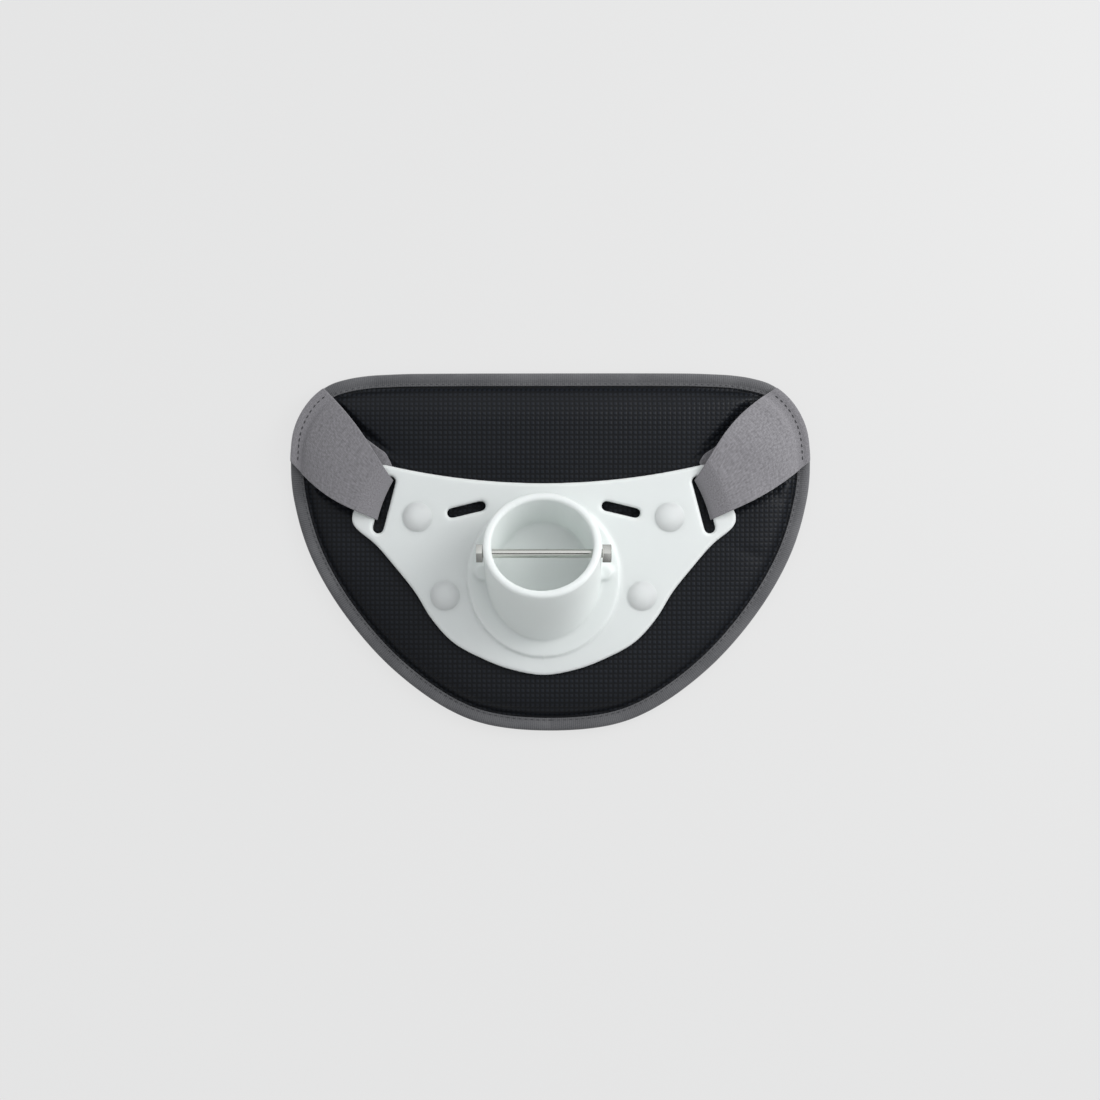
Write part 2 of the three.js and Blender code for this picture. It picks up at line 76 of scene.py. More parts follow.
def smoothShade(obj, angle=40):
    pick(obj)
    bpy.ops.object.shade_smooth_by_angle(angle=math.radians(angle))


def gridSkin(name, columns, rows, place):  # a grid laid out by a rule of its two shares
    bpy.ops.object.select_all(action="DESELECT")
    bpy.ops.mesh.primitive_grid_add(x_subdivisions=columns, y_subdivisions=rows, size=1)
    skin = added(name)
    for vertex in skin.data.vertices:
        vertex.co = place(vertex.co.x + 0.5, vertex.co.y + 0.5)
    return skin


def scaleUV(obj, across, along):  # turns the grid's UV shares into metres of cloth
    for corner in obj.data.uv_layers.active.data:
        corner.uv = (corner.uv.x * across, corner.uv.y * along)


def turned(name, profile, steps, place=Matrix.Identity(4)):  # spins a profile of (radius, height)
    bpy.ops.object.select_all(action="DESELECT")
    bpy.ops.mesh.primitive_circle_add(vertices=len(profile), fill_type="NOTHING")
    shape = added(name)
    mesh = shape.data
    for vertex, (radius, height) in zip(mesh.vertices, profile):
        vertex.co = (radius * mm, 0, height * mm)
    bpy.ops.object.mode_set(mode="EDIT")
    bpy.ops.mesh.select_all(action="DESELECT")
    bpy.ops.object.mode_set(mode="OBJECT")
    ends = {0, len(profile) - 1}
    for edge in mesh.edges:
        edge.select = set(edge.vertices) == ends
    bpy.ops.object.mode_set(mode="EDIT")
    bpy.ops.mesh.select_mode(type="EDGE")
    bpy.ops.mesh.delete(type="EDGE")  # the axis itself stays open
    bpy.ops.mesh.select_all(action="SELECT")
    bpy.ops.mesh.spin(steps=steps, angle=tau, center=(0, 0, 0), axis=(0, 0, 1))
    bpy.ops.object.mode_set(mode="OBJECT")
    closeUp(shape)
    mesh.transform(place)
    return shape


def openSpline(points, steps):  # a smooth line through points, with as many steps in each span
    line = []
    for i in range(len(points) - 1):
        a, b = points[max(i - 1, 0)], points[i]
        c, d = points[i + 1], points[min(i + 2, len(points) - 1)]
        reach = (c - b).length / 3
        leave = b + (c - a).normalized() * reach
        arrive = c - (d - b).normalized() * reach
        line += geometry.interpolate_bezier(b, leave, arrive, c, steps + 1)[:-1]
    return line + [points[-1].copy()]


def evenly(line, count):  # the same line with points at equal distances
    marks = [0.0]
    for a, b in zip(line, line[1:]):
        marks.append(marks[-1] + (b - a).length)
    spaced, at = [], 0
    for k in range(count + 1):
        target = marks[-1] * k / count
        while at < len(line) - 2 and marks[at + 1] < target:
            at += 1
        span = marks[at + 1] - marks[at]
        spaced.append(line[at].lerp(line[at + 1], (target - marks[at]) / span if span else 0))
    return spaced


def cylinder(name, sides, radius, low, high, place=Matrix.Identity(4)):
    bpy.ops.object.select_all(action="DESELECT")
    bpy.ops.mesh.primitive_cylinder_add(
        vertices=sides, radius=radius * mm, depth=(high - low) * mm,
        location=(0, 0, (low + high) / 2 * mm))
    shape = added(name)
    bpy.ops.object.transform_apply(location=True)
    shape.data.transform(place)
    return shape


def compass(count, radius):  # steps of one length in all directions of the XY plane
    turns = [k * tau / count for k in range(count)]
    return [Vector((math.cos(turn), math.sin(turn), 0)) * radius * mm for turn in turns]


def treeOf(node):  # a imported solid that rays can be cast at
    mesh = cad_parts[node].data
    return BVHTree.FromPolygons(
        [v.co for v in mesh.vertices], [tuple(p.vertices) for p in mesh.polygons])


def subdivide(obj):
    finer = obj.modifiers.new("finer", "SUBSURF")
    finer.levels = finer.render_levels = 1


def roundEdges(obj, width, segments, angle):
    rounded = obj.modifiers.new("rounded", "BEVEL")
    rounded.width, rounded.segments = width * mm, segments
    rounded.angle_limit = math.radians(angle)


upwards, downwards = Vector((0, 0, 1)), Vector((0, 0, -1))


# Materials

def toLinear(code):  # "#rrggbb" as sRGB to linear colour
    parts = [int(code[i:i + 2], 16) / 255 for i in (1, 3, 5)]
    return [c / 12.92 if c <= 0.04045 else ((c + 0.055) / 1.055) ** 2.4 for c in parts] + [1]


def addNode(tree, kind, settings=None, links=None):
    node = tree.nodes.new(kind)
    for key, value in (settings or {}).items():
        if isinstance(key, int) or key in node.inputs.keys():
            node.inputs[key].default_value = value
        else:
            setattr(node, key, value)
    for key, source in (links or {}).items():
        tree.links.new(source, node.inputs[key])
    return node


def reckon(tree, operation, *terms):  # a term is a number or another node's output
    numbers = {i: t for i, t in enumerate(terms) if isinstance(t, float)}
    links = {i: t for i, t in enumerate(terms) if not isinstance(t, float)}
    return addNode(tree, "ShaderNodeMath", {"operation": operation, **numbers}, links).outputs[0]


def noise(tree, where, size, detail):
    return addNode(tree, "ShaderNodeTexNoise", {"Scale": 1 / (size * mm), "Detail": detail}, {
        "Vector": where}).outputs["Fac"]


def ribs(tree, where, direction, pitch, distortion, detail):
    return addNode(tree, "ShaderNodeTexWave", {
        "bands_direction": direction, "Scale": tau / 20 / (pitch * mm), "Distortion": distortion,
        "Detail": detail}, {"Vector": where}).outputs["Fac"]


def ramp(tree, value, low, high, start=0.0, end=1.0, kind="LINEAR"):
    return addNode(tree, "ShaderNodeMapRange", {
        "interpolation_type": kind, "From Min": start, "From Max": end, "To Min": low,
        "To Max": high}, {"Value": value}).outputs[0]


def blend(tree, share, first, second):
    return addNode(tree, "ShaderNodeMix", {
        "data_type": "RGBA", 6: toLinear(first), 7: toLinear(second)}, {
        "Factor": share}).outputs[2]


def newMaterial(name, roughness, ior, colour=None, **sockets):
    material = bpy.data.materials.new(name)
    material.use_nodes = True
    shader = material.node_tree.nodes["Principled BSDF"]
    shader.inputs["Roughness"].default_value = roughness
    shader.inputs["IOR"].default_value = ior
    if colour:
        shader.inputs["Base Color"].default_value = toLinear(colour)
    for key, value in sockets.items():
        shader.inputs[key.replace("_", " ")].default_value = value
    return material, material.node_tree, shader


def dress(obj, material):
    obj.data.materials.clear()
    obj.data.materials.append(material)


def linkSkin(tree, shader, colour, height, strength, relief):
    bump = addNode(tree, "ShaderNodeBump", {"Strength": strength, "Distance": relief * mm}, {
        "Height": height})
    tree.links.new(colour, shader.inputs["Base Color"])
    tree.links.new(bump.outputs[0], shader.inputs["Normal"])


# Coated polyester for the pad's cover, hot pressed into small raised squares. The squares catch the
# light and the lines between them stay dark, and both are painted into the colour: a painted
# highlight on the squares, painted shade in the lines.
padCloth = {
    # The square colour is the navy cloth with a painted highlight, the line colour the same cloth
    # with painted shade.
    "litSquare": "#191d24", "line": "#0a0c10", "pitch": 2.65, "lineShare": 0.44, "softness": 0.13,
    "cornerRound": 0.12, "grain": 0.5263, "grainShare": 0.12, "patch": 38.46,
    "patchTones": (0.75, 1.2), "strength": 0.9, "relief": 0.2, "roughness": 0.5, "ior": 1.3,
}


def makePadCloth():
    material, tree, shader = newMaterial(
        "embossedCoatedPolyester", padCloth["roughness"], padCloth["ior"],
        Sheen_Weight=0.03, Sheen_Roughness=0.4)
    where = addNode(tree, "ShaderNodeTexCoord").outputs["Object"]
    cells = addNode(tree, "ShaderNodeVectorMath", {
        "operation": "SCALE", "Scale": 1 / (padCloth["pitch"] * mm)}, {0: where}).outputs[0]
    folded = addNode(tree, "ShaderNodeVectorMath", {
        "operation": "FRACTION"}, {0: cells}).outputs[0]
    middle = addNode(tree, "ShaderNodeVectorMath", {
        "operation": "SUBTRACT", 1: (0.5, 0.5, 0.5)}, {0: folded}).outputs[0]
    off = addNode(tree, "ShaderNodeVectorMath", {"operation": "ABSOLUTE"}, {0: middle}).outputs[0]
    parts = addNode(tree, "ShaderNodeSeparateXYZ", {}, {0: off}).outputs
    edge = reckon(tree, "SMOOTH_MAX", parts["X"], parts["Y"], padCloth["cornerRound"])
    rim, soft = 0.5 - padCloth["lineShare"] / 2, padCloth["softness"]
    raised = ramp(tree, edge, 0, 1, rim + soft, rim - soft, "SMOOTHSTEP")
    patches = noise(tree, where, padCloth["patch"], 2)
    # lit is the painted highlight share: the raised squares get the lighter colour, varied at random
    # by the patches.
    lit = reckon(tree, "MULTIPLY", raised, ramp(tree, patches, *padCloth["patchTones"]))
    grain = noise(tree, where, padCloth["grain"], 3)
    height = reckon(tree, "MULTIPLY_ADD", grain, padCloth["grainShare"], raised)
    colour = blend(tree, lit, padCloth["line"], padCloth["litSquare"])
    linkSkin(tree, shader, colour, height, padCloth["strength"], padCloth["relief"])
    return material


# Ribbed polyester tape: fine ribs run across it, so it looks matt and slightly streaked.
tapeCloth = {
    "light": "#6b6b6d", "dark": "#48484b", "rib": 1.1, "ribShare": 0.45, "fuzz": 0.7692,
    "wear": 22.22, "tones": (0.75, 1.6), "strength": 0.8, "relief": 0.12,
}


def makeTapeCloth():
    material, tree, shader = newMaterial("ribbedPolyesterTape", 0.85, 1.5, Sheen_Weight=0.2)
    where = addNode(tree, "ShaderNodeUVMap").outputs["UV"]
    across = ribs(tree, where, "X", tapeCloth["rib"], 0.6, 1)
    fuzz = noise(tree, where, tapeCloth["fuzz"], 4)
    mixed = reckon(tree, "MULTIPLY_ADD", across, tapeCloth["ribShare"], fuzz)
    level = reckon(tree, "ADD", mixed, noise(tree, where, tapeCloth["wear"], 3))
    share = ramp(tree, level, 0, 1, *tapeCloth["tones"])
    colour = blend(tree, share, tapeCloth["dark"], tapeCloth["light"])
    linkSkin(tree, shader, colour, mixed, tapeCloth["strength"], tapeCloth["relief"])
    return material


# Brushed nylon weave for the bands: soft, matt, with a faint thread grain.
bandCloth = {
    "light": "#8f8d91", "dark": "#6d6b6e", "thread": 0.9, "weaveShare": 0.12, "blotch": 1.111,
    "tones": (0.3, 0.75), "strength": 0.7, "relief": 0.05,
}


def makeBandCloth():
    material, tree, shader = newMaterial("brushedNylonWeave", 0.9, 1.5, Sheen_Weight=0.25)
    where = addNode(tree, "ShaderNodeUVMap").outputs["UV"]
    warp = ribs(tree, where, "X", bandCloth["thread"], 1.5, 2)
    weft = ribs(tree, where, "Y", bandCloth["thread"], 1.5, 2)
    weave = reckon(tree, "MULTIPLY", warp, weft)
    blotch = noise(tree, where, bandCloth["blotch"], 5)
    level = reckon(tree, "MULTIPLY_ADD", weave, bandCloth["weaveShare"], blotch)
    share = ramp(tree, level, 0, 1, *bandCloth["tones"])
    colour = blend(tree, share, bandCloth["dark"], bandCloth["light"])
    linkSkin(tree, shader, colour, weave, bandCloth["strength"], bandCloth["relief"])
    return material


# Twisted polyester sewing thread.
sewingThread = {"twist": 1.111, "tones": (0.6, 1.25)}


def makeThread(name, code):
    material, tree, shader = newMaterial(name, 0.7, 1.5, Sheen_Weight=0.2)
    where = addNode(tree, "ShaderNodeTexCoord").outputs["Object"]
    shade = ramp(tree, noise(tree, where, sewingThread["twist"], 2), *sewingThread["tones"])
    colour = addNode(tree, "ShaderNodeMix", {
        "data_type": "RGBA", "blend_type": "MULTIPLY", "Factor": 1, 6: toLinear(code)},
        {7: shade}).outputs[2]
    tree.links.new(colour, shader.inputs["Base Color"])
    return material


# Injection moulded polyethylene: milky white, a little light passes into it, satin skin.
whitePlastic = {
    "base": "#eaeeec", "shade": "#e5eae8", "roughness": 0.42, "ior": 1.51, "lightWeight": 0.6,
    "lightReach": 6, "lightShares": (1.0, 1.02, 1.0), "flow": 55.56, "skin": 1.4286,
    "strength": 0.25, "relief": 0.03, "smoother": 0.04, "rougher": 0.05,
}


def makeWhitePlastic():
    roughness = whitePlastic["roughness"]
    material, tree, shader = newMaterial(
        "mouldedPolyethylene", roughness, whitePlastic["ior"],
        Subsurface_Weight=whitePlastic["lightWeight"],
        Subsurface_Scale=whitePlastic["lightReach"] * mm,
        Subsurface_Radius=whitePlastic["lightShares"])
    where = addNode(tree, "ShaderNodeTexCoord").outputs["Object"]
    flow = noise(tree, where, whitePlastic["flow"], 3)
    skin = noise(tree, where, whitePlastic["skin"], 2)
    rough = ramp(tree, flow, roughness - whitePlastic["smoother"],
                 roughness + whitePlastic["rougher"])
    tree.links.new(rough, shader.inputs["Roughness"])
    colour = blend(tree, flow, whitePlastic["shade"], whitePlastic["base"])
    linkSkin(tree, shader, colour, skin, whitePlastic["strength"], whitePlastic["relief"])
    return material


# Turned and polished stainless steel. Its polish changes a little in fine rings along the bar.
steelBar = {"base": "#c9c9c4", "roughness": 0.16, "change": 0.06, "rings": (0.4, 8.333, 8.333)}


def makeSteel():
    roughness, change = steelBar["roughness"], steelBar["change"]
    material, tree, shader = newMaterial(
        "polishedStainlessSteel", roughness, 1.5, steelBar["base"], Metallic=1)
    where = addNode(tree, "ShaderNodeTexCoord").outputs["Object"]
    rings = addNode(tree, "ShaderNodeMapping", {
        "Scale": [1 / (size * mm) for size in steelBar["rings"]]}, {"Vector": where}).outputs[0]
    rough = ramp(tree, noise(tree, rings, 1 / mm, 2), roughness - change, roughness + change)
    tree.links.new(rough, shader.inputs["Roughness"])
    return material


materials = {
    "pad": makePadCloth(), "tape": makeTapeCloth(), "band": makeBandCloth(),
    "tapeThread": makeThread("charcoalPolyesterThread", "#3d3d40"),
    "bandThread": makeThread("blackPolyesterThread", "#2c2d30"),
    "plastic": makeWhitePlastic(), "steel": makeSteel(),
}
print("materials made")


# The belt's outline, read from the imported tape

belt = {"loopPoints": 1600, "clearance": 0.3, "splineSteps": 12, "splineSpare": 3}


def readLoop():
    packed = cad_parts["edge_binding"].data.vertices
    corners = sorted({(round(v.co.x, 6), round(v.co.y, 6)) for v in packed})
    corners = [Vector((x, y, 0)) for x, y in corners]
    hull = [corners[i] for i in geometry.convex_hull_2d([c.xy for c in corners])]
    if sum(a.cross(b).z for a, b in zip(hull, hull[1:] + hull[:1])) < 0:
        hull.reverse()
    start = min(range(len(hull)), key=lambda i: abs(hull[i].x) + (hull[i].y > 0))
    hull = hull[start:] + hull[:start]
    # The spline runs on past both ends of the ring, so that its own ends agree.
    spare, steps = belt["splineSpare"], belt["splineSteps"]
    around = openSpline(hull[-spare:] + hull + hull[:spare + 1], steps)
    return evenly(around[spare * steps:-spare * steps], belt["loopPoints"])[:-1]


beltLoop = readLoop()
beltNormals = []
for i in range(len(beltLoop)):
    step = beltLoop[(i + 1) % len(beltLoop)] - beltLoop[i - 1]
    beltNormals.append(Vector((step.y, -step.x, 0)).normalized())


def onLoop(share, inset=0.0, height=0.0):  # a point of the outline, moved inwards and up
    place = (share % 1) * len(beltLoop)
    i = int(place) % len(beltLoop)
    k = (i + 1) % len(beltLoop)
    part = place - int(place)
    point = beltLoop[i].lerp(beltLoop[k], part)
    normal = beltNormals[i].lerp(beltNormals[k], part).normalized()
    return point - normal * inset * mm + Vector((0, 0, height * mm))


def loopShareAt(level):  # where the right side of the outline reaches a height
    half = range(len(beltLoop) // 2)
    return min(half, key=lambda i: abs(beltLoop[i].y - level * mm)) / len(beltLoop)


beltLength = sum((b - a).length for a, b in zip(beltLoop, beltLoop[1:] + beltLoop[:1]))
print("outline read:", round(beltLength / mm), "mm round")


# Shared sizes of the moulding that the cloth also follows

plate = {
    "x": -3.2, "y": -9.45, "width": 209, "height": 114.7, "thickness": 3.5, "bow": 2.2,
    "back": 13.3, "bowSteps": 64, "edgeRound": 1.1, "voxel": 0.8, "smoothing": 5,
}


def plateBack(x):  # the moulding's back in millimetres, lower towards its ends
    share = (x - plate["x"]) / (plate["width"] / 2)
    return plate["back"] - plate["bow"] * share * share


# Pad: the padded cover with its puffed shoulder

pad = {
    "around": 280, "flange": 1.5, "edge": 7.3, "flangeLow": 1.5, "flangeTop": 4.7,
    "shoulder": 17, "crownRings": 14, "centreY": -4, "backInset": 12, "dip": 1.6,
    "sag": 3.5, "sagRing": 9, "sagFrom": 0.6, "buckleFrom": 0.3, "buckleLean": 1.6,
    "buckles": [  # place, turn in radians, length, width and depth
        (123, 33, -0.5, 10, 3.2, 0.7), (108, 2, -0.35, 12, 4, 0.6), (-116, 12, 0.5, 9, 4, 0.35),
        (62, 84, 0.1, 26, 3, 0.3)],
    "shoulderRise": [
        (0, 0), (0.012, 0.1), (0.035, 0.25), (0.08, 0.43), (0.14, 0.58), (0.22, 0.7), (0.32, 0.8),
        (0.44, 0.88), (0.58, 0.94), (0.75, 0.98), (1, 1)],
}
swell = {
    "frames": 12, "quality": 3, "mass": 0.2, "stiffness": 12, "bending": 1.5, "pressure": 4,
    "cap": 1.3, "heldEdge": 0.4, "nearby": (0, 2, 4, 6), "fade": 8, "below": 4,
}


def makePad():
    cadPad, moulding = treeOf("pad"), treeOf("gimbal_plate")
    centre = Vector((0, pad["centreY"] * mm, 0))

    def topOf(point):
        hit = cadPad.ray_cast(Vector((point.x, point.y, 100 * mm)), downwards)[0]
        return hit.z / mm if hit else pad["flangeTop"]

    def crown(point):
        return plateBack(point.x / mm) - belt["clearance"]

    def buckled(point):  # soft folds that run in from the edge
        for x, y, turn, length, width, depth in pad["buckles"]:
            side = point - Vector((x, y, 0)) * mm
            along = (side.x * math.cos(turn) + side.y * math.sin(turn)) / (length * mm)
            across = (side.y * math.cos(turn) - side.x * math.sin(turn)) / (width * mm)
            fall = math.exp(-along * along - across * across)
            point.z -= depth * mm * fall * (1 - pad["buckleLean"] * across)
        return point

    def levelRing(inset, height=0):
        return lambda s: onLoop(s, inset, height)

    def shoulderRing(inward, rise):
        def at(s):
            point = onLoop(s, pad["edge"] + inward * pad["shoulder"])
            point.z = (pad["flangeTop"] + rise * (crown(point) - pad["flangeTop"])) * mm
            return buckled(point) if inward > pad["buckleFrom"] else point
        return at

    def crownRing(share):
        def at(s):
            point = centre.lerp(onLoop(s, pad["edge"] + pad["shoulder"]), share)
            point.z = crown(point) * mm
            return buckled(point)
        return at

    rings = [
        lambda s: centre.copy(), lambda s: centre.lerp(onLoop(s, pad["backInset"]), 0.5),
        levelRing(pad["backInset"]), levelRing(pad["edge"]),
        levelRing(pad["edge"], pad["flangeLow"]), levelRing(pad["flange"], pad["flangeLow"]),
        levelRing(pad["flange"], pad["flangeTop"])]
    rings += [shoulderRing(inward, rise) for inward, rise in pad["shoulderRise"]]
    rings += [crownRing(1 - k / pad["crownRings"]) for k in range(1, pad["crownRings"] + 1)]
    last = len(rings) - 1
    cover = gridSkin("padCover", pad["around"], last, lambda u, v: rings[round(v * last)](u))
    closeUp(cover)

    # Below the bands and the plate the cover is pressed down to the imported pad, with a soft slope.
    spots = [Vector((0, 0, 0))] + compass(8, pad["dip"])
    ring = compass(16, pad["sagRing"])
    for vertex in cover.data.vertices:
        if vertex.co.z > (pad["flangeTop"] + 0.2) * mm:
            under = [moulding.ray_cast(Vector((s.x, s.y, 0)), upwards)[0] is not None
                     for s in (vertex.co + spot for spot in ring)]
            inside = max(0, sum(under) / len(ring) - pad["sagFrom"]) / (1 - pad["sagFrom"])
            vertex.co.z -= pad["sag"] * mm * inside
            low = min(topOf(vertex.co + spot) for spot in spots) * mm
            if low < vertex.co.z - 0.6 * mm:
                vertex.co.z = max(low, pad["flangeTop"] * mm)
    return cover


padCover = makePad()
print("pad cover laid out")


def swellPad(cover):  # pressure swells the free cloth; what lies under something else is held
    above = [treeOf(node) for node in ("gimbal_plate", "strap_left", "strap_right")]
    held = cover.vertex_groups.new(name="held")
    for vertex in cover.data.vertices:
        free = vertex.co.z >= (pad["flangeTop"] + swell["heldEdge"]) * mm
        weight = 0.0 if free else 1.0
        for distance in swell["nearby"] if free else ():
            spots = [vertex.co + step for step in compass(8 if distance else 1, distance)]
            if any(tree.ray_cast(spot + downwards * swell["below"] * mm, upwards)[0]
                   for tree in above for spot in spots):
                weight = 1 - distance / swell["fade"]
                break
        held.add([vertex.index], weight, "REPLACE")
    rest = [v.co.copy() for v in cover.data.vertices]
    cloth = cover.modifiers.new("swell", "CLOTH")
    cloth.settings.quality = swell["quality"]
    cloth.settings.mass = swell["mass"]
    cloth.settings.tension_stiffness = swell["stiffness"]
    cloth.settings.compression_stiffness = swell["stiffness"]
    cloth.settings.bending_stiffness = swell["bending"]
    cloth.settings.use_pressure = True
    cloth.settings.uniform_pressure_force = swell["pressure"]
    cloth.settings.effector_weights.gravity = 0
    cloth.settings.vertex_group_mass = "held"
    cloth.point_cache.frame_start, cloth.point_cache.frame_end = 1, swell["frames"]
    for step in range(1, swell["frames"] + 1):
        bpy.context.scene.frame_set(step)
    seen = cover.evaluated_get(bpy.context.evaluated_depsgraph_get())
    swollen = [v.co.copy() for v in seen.data.vertices]
    cover.modifiers.remove(cloth)
    bpy.context.scene.frame_set(1)
    for vertex, before, after in zip(cover.data.vertices, rest, swollen):
        move = after - before
        vertex.co = before + move * min(1, swell["cap"] * mm / max(move.length, 1e-9))
    cover.vertex_groups.remove(held)


swellPad(padCover)
subdivide(padCover)
applyAll(padCover)
smoothShade(padCover, 180)
dress(padCover, materials["pad"])
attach(padCover, "root")
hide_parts("pad")
print("pad swollen:", len(padCover.data.polygons), "faces")


# Edge tape, folded over the pad's edge

tape = {
    "around": 960, "stitchPitch": 3.3, "pucker": 0.18, "stitchInset": 6.0, "stitchHeight": 5.58,
    "puckerReach": 1.6, "frontFrom": 5.3, "weaveWidth": 34, "flatWidth": 19.375,
    "section": [  # inset and height, from the outer side over the top, in and round below
        (0, 3.1), (0.06, 4.2), (0.35, 5.2), (0.95, 5.9), (1.9, 6.2), (3.1, 6.25), (4.2, 6.1),
        (5.0, 5.8), (5.6, 5.6), (6.2, 5.75), (6.8, 5.75), (7.1, 5.45), (6.95, 5.1), (6.3, 5.0),
        (4.0, 5.0), (1.25, 4.95), (1.2, 3.1), (1.25, 1.25), (4.0, 1.2), (6.3, 1.2), (7.0, 1.0),
        (7.05, 0.55), (6.7, 0.15), (5.6, 0.05), (3.1, 0), (1.6, 0.05), (0.7, 0.5), (0.15, 1.5)],
}


def makeTape():
    section = tape["section"] + tape["section"][:1]
    last = len(section) - 1
    turns = round(beltLength / (tape["stitchPitch"] * mm))

    def at(u, v):
        inset, height = section[round(v * last)]
        near = max(0, 1 - abs(inset - tape["stitchInset"]) / tape["puckerReach"])
        pull = tape["pucker"] * near * (0.5 + 0.5 * math.cos(tau * turns * u))
        return onLoop(u, inset, height - (pull if height > tape["frontFrom"] else 0))

    skin = gridSkin("edgeTape", tape["around"], last, at)
    scaleUV(skin, beltLength, tape["weaveWidth"] * mm)
    closeUp(skin)
    smoothShade(skin, 60)
    dress(skin, materials["tape"])
    return skin


edgeTape = makeTape()
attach(edgeTape, "root")
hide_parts("edge_binding")
print("tape folded round the edge")


# Bands: each sewn over the tape, over the moulding's outer bar, down its slot and back under it

band = {
    "thickness": 1.4, "across": 28, "spanSteps": 5, "endInset": 0.3, "outerTop": 90,
    "outerBottom": 49.5, "slotTop": 14.8, "slotBottom": -8.8, "slotSlack": 3.2,
    "slotInset": 17.6, "slotDrop": 22.2, "slotTilt": 14.6, "slotWidth": 5.9, "sewn": 6.5,
    "slackFall": 2.2, "backSkew": 4.5, "flatWidth": 43, "weaveWidth": 42, "wallShare": 0.92,
    "edgeRound": 0.45,
    "top": [  # place along the run, and the height: level on the tape, then a share of the rise
        ("end", 0, "sewn", 0.0), ("end", 2, "sewn", 0.05), ("end", 4.2, "sewn", -0.35),
        ("end", 6.4, "sewn", -0.25), ("end", 8.2, "sewn", 0.15), ("end", 10.5, "rise", 0.26),
        ("share", 0.26, "rise", 0.6), ("share", 0.36, "rise", 0.88), ("share", 0.48, "rise", 1.14),
        ("share", 0.62, "rise", 1.34), ("slot", 12, "rise", 1.38), ("slot", 8, "rise", 1.25)],
    "bend": [(4.2, -0.2), (2.4, 0.05), (1.1, 0.25), (0.1, 0.5), (-0.5, 0.8)],
    "back": [
        ("slot", 12, "low", 1), ("slot", 17, "low", 1), ("share", 0.56, "low", 0.8),
        ("share", 0.4, "low", 0.5), ("share", 0.26, "low", 0.24), ("share", 0.17, "low", 0.06),
        ("end", 5, "low", 0), ("end", 0.4, "low", 0)],
}
bandSides = {
    "Left": {"side": -1, "topUpper": 0.07, "backUpper": 0.22, "lower": 0.13, "wave": 0.3},
    "Right": {"side": 1, "topUpper": 0.15, "backUpper": 0.2, "lower": 0.09, "wave": 0.5},
}
bandTopShare = loopShareAt(band["outerTop"])
bandBottomShare = loopShareAt(band["outerBottom"])


def bandEnds(side, across):  # where one line of a band starts on the outline and meets its slot
    outer = onLoop(bandTopShare + (bandBottomShare - bandTopShare) * across, band["endInset"])
    outer.x *= side
    slack = band["slotSlack"] * max(0, 1 - across) ** band["slackFall"]
    wall = -side * (band["slotWidth"] / 2 - belt["clearance"] - slack)
    along = band["slotTop"] + (band["slotBottom"] - band["slotTop"]) * across
    turn = math.radians(90 + side * band["slotTilt"])
    tip = plate["y"] + plate["height"] / 2
    x = plate["x"] + side * (plate["width"] / 2 - band["slotInset"])
    inner = Vector((
        x + along * math.cos(turn) - wall * math.sin(turn),
        tip - band["slotDrop"] + along * math.sin(turn) + wall * math.cos(turn), 0)) * mm
    return outer, inner


def bandPoint(rule, across, layer, share):
    within = min(max(share, 0), 1)
    lower = rule["lower"] * math.sin(math.pi * within)
    if layer == "back":
        upper = rule["backUpper"] * math.sin(math.pi * within ** band["backSkew"])
    else:
        upper = rule["topUpper"] * math.sin(math.pi * within)
    outer, inner = bandEnds(rule["side"], across + lower * across - upper * (1 - across))
    return outer.lerp(inner, share)


def bandLine(rule, across):
    outer, inner = bandEnds(rule["side"], across)
    length = (inner - outer).length / mm
    half = band["thickness"] / 2
    shares = {
        "end": lambda d: d / length, "share": lambda d: d, "slot": lambda d: 1 - d / length}

    def levels(point):
        reach = plate["width"] / 2
        x = min(max(point.x / mm, plate["x"] - reach), plate["x"] + reach)
        under = plateBack(x) - belt["clearance"] - half
        over = plateBack(x) + plate["thickness"] + belt["clearance"] + half
        return under, over

    keys = []
    for kind, distance, rest, level in band["top"]:
        point = bandPoint(rule, across, "top", shares[kind](distance))
        over = levels(point)[1]
        sewn = band["sewn"] + 3 * half
        point.z = (sewn + level if rest == "sewn" else sewn + (over - sewn) * level) * mm
        if kind == "share":  # soft waves where the cloth lies free
            point.z += rule["wave"] * math.sin(5.5 * across + 11 * distance + rule["side"]) * mm
        keys.append(point)
    for beyond, fall in band["bend"]:
        point = bandPoint(rule, across, "top", shares["slot"](beyond))
        under, over = levels(point)
        point.z = (over + (under - over) / 2 * fall) * mm
        keys.append(point)
    for beyond, fall in reversed(band["bend"]):
        point = bandPoint(rule, across, "back", shares["slot"](beyond))
        under, over = levels(point)
        point.z = (under + (over - under) / 2 * fall) * mm
        keys.append(point)
    for kind, distance, rest, level in band["back"]:
        point = bandPoint(rule, across, "back", shares[kind](distance))
        under = levels(point)[0]
        sewn = band["sewn"] + half
        point.z = (sewn + (under - sewn) * level) * mm
        keys.append(point)
    return openSpline(keys, band["spanSteps"])


